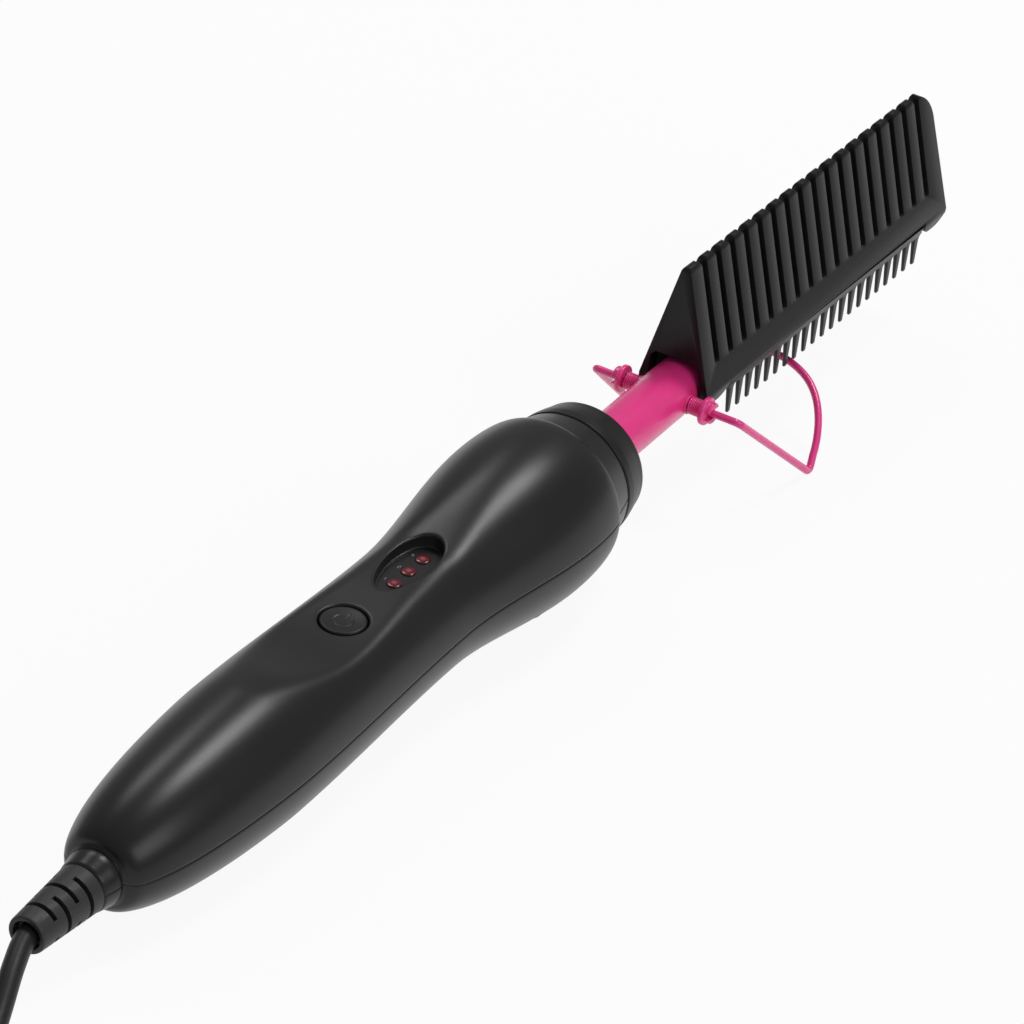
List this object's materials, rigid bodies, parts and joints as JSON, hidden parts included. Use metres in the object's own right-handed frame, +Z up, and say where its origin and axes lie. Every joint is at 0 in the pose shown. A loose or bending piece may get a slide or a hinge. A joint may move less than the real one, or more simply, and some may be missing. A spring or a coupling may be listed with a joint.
{
  "type": "hot comb",
  "caption": "Electric hot comb with a finned heating comb, slim heat tube, swelling handle with a push button and lights, folding wire stand and mains cord.",
  "frame": {"origin": "bottom centre of the bounding box without the free cord, on the surface that the comb rests on", "axes": "+X from the cord end of the handle to the tip of the comb, +Y to the left, +Z up"},
  "size_m": [0.4056, 0.0636, 0.0491],
  "materials": {
    "shell_plastic": "fine matt texture",
    "collar_plastic": "fine matt texture",
    "tube_paint": "satin pink enamel",
    "bush_ceramic": "fibre-filled, matt",
    "comb_coating": "cast, black baked coating, satin",
    "tooth_coating": "cast, black baked coating, satin",
    "screw_steel": "zinc plated",
    "heater_ceramic": "sintered, matt",
    "sleeve_film": "amber film",
    "lead_insulation": "woven sleeve, matt",
    "wire_paint": "satin pink enamel on spring steel",
    "button_plastic": "fine matt texture",
    "switch_plastic": "moulded",
    "light_plastic": "tinted clear resin",
    "board_laminate": "laminate with solder mask",
    "component_plastic": "moulded",
    "capacitor_film": "dipped",
    "gland_rubber": "moulded, matt",
    "cord_rubber": "extruded, satin",
    "tie_strap": "woven strap",
    "plug_rubber": "moulded, matt",
    "pin_brass": "plain"
  },
  "bodies": {
    "handle": {"handle_upper_shell": "shell_plastic", "handle_lower_shell": "shell_plastic", "front_collar": "collar_plastic", "heat_tube": "tube_paint", "tube_bush": "bush_ceramic", "comb_head": "comb_coating", "tooth_plate": "tooth_coating", "comb_screws": "screw_steel", "heater_bar": "heater_ceramic", "heater_sleeve": "sleeve_film", "thermal_fuse": "heater_ceramic", "temperature_probe": "sleeve_film", "heater_leads": "lead_insulation", "stand_spring_right": "wire_paint", "stand_spring_left": "wire_paint", "tact_switch": "switch_plastic", "light_low": "light_plastic", "light_middle": "light_plastic", "light_high": "light_plastic", "circuit_board": "board_laminate", "board_screws": "screw_steel", "triac": "component_plastic", "film_capacitor": "capacitor_film", "control_chip": "component_plastic", "cord_gland": "gland_rubber", "cord_tail": "cord_rubber", "cord_clamp": "switch_plastic", "clamp_screws": "screw_steel", "mains_leads": "lead_insulation", "shell_screws": "screw_steel", "mains_cord": "cord_rubber", "cord_coil": "cord_rubber", "cord_tie": "tie_strap", "plug_lead": "cord_rubber", "plug_body": "plug_rubber", "plug_pins": "pin_brass"},
    "stand": {"stand_wire": "wire_paint", "stand_cap_right": "wire_paint", "stand_cap_left": "wire_paint"},
    "button": {"power_button": "button_plastic", "switch_plunger": "switch_plastic"}
  },
  "joints": [
    {"name": "stand_hinge", "type": "hinge", "parent": "handle", "child": "stand", "pos_m": [0.05495, 0, 0.02169], "axis": [0, 1, 0], "range_deg": [0, 140]},
    {"name": "button_press", "type": "slide", "parent": "handle", "child": "button", "axis": [0.0513, 0, -0.9987], "range_m": [0, 0.0006], "stiffness_N_per_m": 1500, "springref_m": -0.0003}
  ]
}
